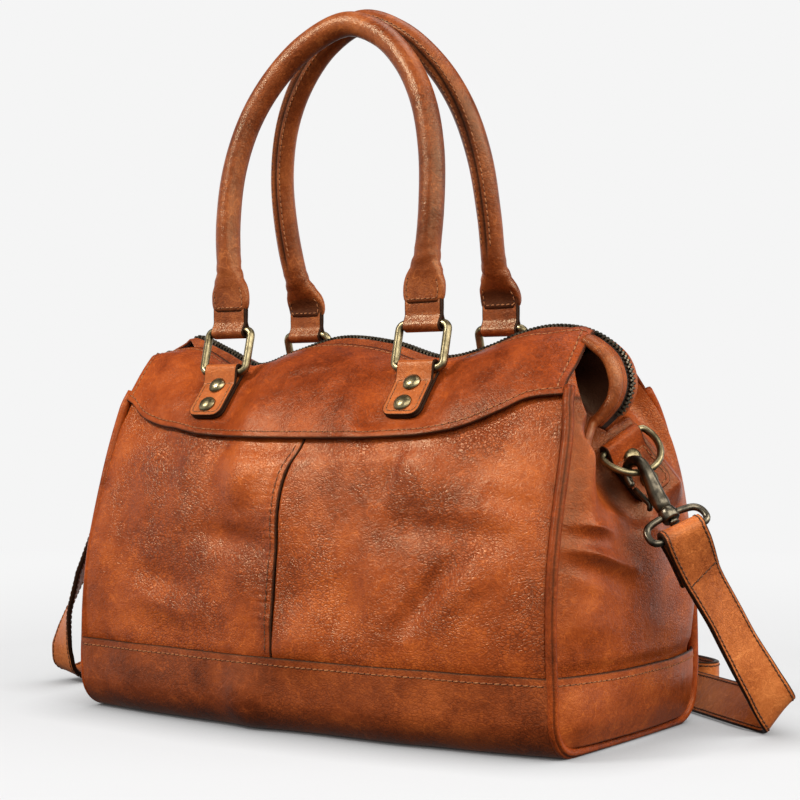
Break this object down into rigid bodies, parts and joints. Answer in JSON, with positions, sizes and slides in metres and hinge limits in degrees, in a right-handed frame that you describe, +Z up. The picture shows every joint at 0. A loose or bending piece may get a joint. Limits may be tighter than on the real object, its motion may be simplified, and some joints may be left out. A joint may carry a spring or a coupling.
{
  "type": "crossbody bag",
  "caption": "Soft leather satchel with rolled carry handles, a zipped curled top, piped gussets and a long clip-on shoulder strap lying behind it.",
  "frame": {"origin": "middle of the base, on the surface that the bag stands on", "axes": "+X to the bag's right end, +Y to its back, +Z up; the front faces -Y"},
  "size_m": [0.5051, 0.2965, 0.43],
  "materials": {
    "leather": "waxed, mottled",
    "handle_leather": "smooth, rolled",
    "strap_leather": "smooth, flat",
    "brass": "antique",
    "bronze": "dark antique",
    "zip_tape": "woven"
  },
  "bodies": {
    "root": {"front_yoke": "leather", "back_yoke": "leather", "front_panel_left": "leather", "front_panel_right": "leather", "back_panel": "leather", "base_band": "leather", "gusset_right": "leather", "gusset_band_right": "leather", "piping_right": "leather", "gusset_left": "leather", "gusset_band_left": "leather", "piping_left": "leather", "zip_tape": "zip_tape", "zip_teeth": "bronze", "zip_slider": "bronze", "zip_facing_right_front": "leather", "zip_facing_right_back": "leather", "zip_facing_left_front": "leather", "zip_facing_left_back": "leather", "tab_front_left": "leather", "tab_rivet_front_left_1": "brass", "tab_rivet_front_left_2": "brass", "ring_front_left": "brass", "handle_loop_front_left": "handle_leather", "tab_front_right": "leather", "tab_rivet_front_right_1": "brass", "tab_rivet_front_right_2": "brass", "ring_front_right": "brass", "handle_loop_front_right": "handle_leather", "handle_front": "handle_leather", "tab_back_left": "leather", "tab_rivet_back_left_1": "brass", "tab_rivet_back_left_2": "brass", "ring_back_left": "brass", "handle_loop_back_left": "handle_leather", "tab_back_right": "leather", "tab_rivet_back_right_1": "brass", "tab_rivet_back_right_2": "brass", "ring_back_right": "brass", "handle_loop_back_right": "handle_leather", "handle_back": "handle_leather", "side_tab_right": "leather", "side_tab_left": "leather", "d_ring_right": "brass", "d_ring_left": "brass", "side_rivet_1_right": "brass", "side_rivet_1_left": "brass", "side_rivet_2_right": "brass", "side_rivet_2_left": "brass", "hook_eye_right": "bronze", "hook_left": "bronze", "strap": "strap_leather"},
    "hook": {"hook_right": "bronze"},
    "gate": {"hook_gate_right": "bronze"}
  },
  "joints": [
    {"name": "hook_swivel", "type": "hinge", "parent": "root", "child": "hook", "pos_m": [0.20075, -0.01942, 0.12784], "axis": [-0.6995, 0.1684, 0.6945], "range_deg": [-45, 0]},
    {"name": "hook_gate", "type": "hinge", "parent": "hook", "child": "gate", "pos_m": [0.18879, -0.01621, 0.1323], "axis": [0.2745, 0.9606, 0.0436], "range_deg": [0, 20], "stiffness_Nm_per_rad": 0.05, "springref_deg": -8.59}
  ]
}
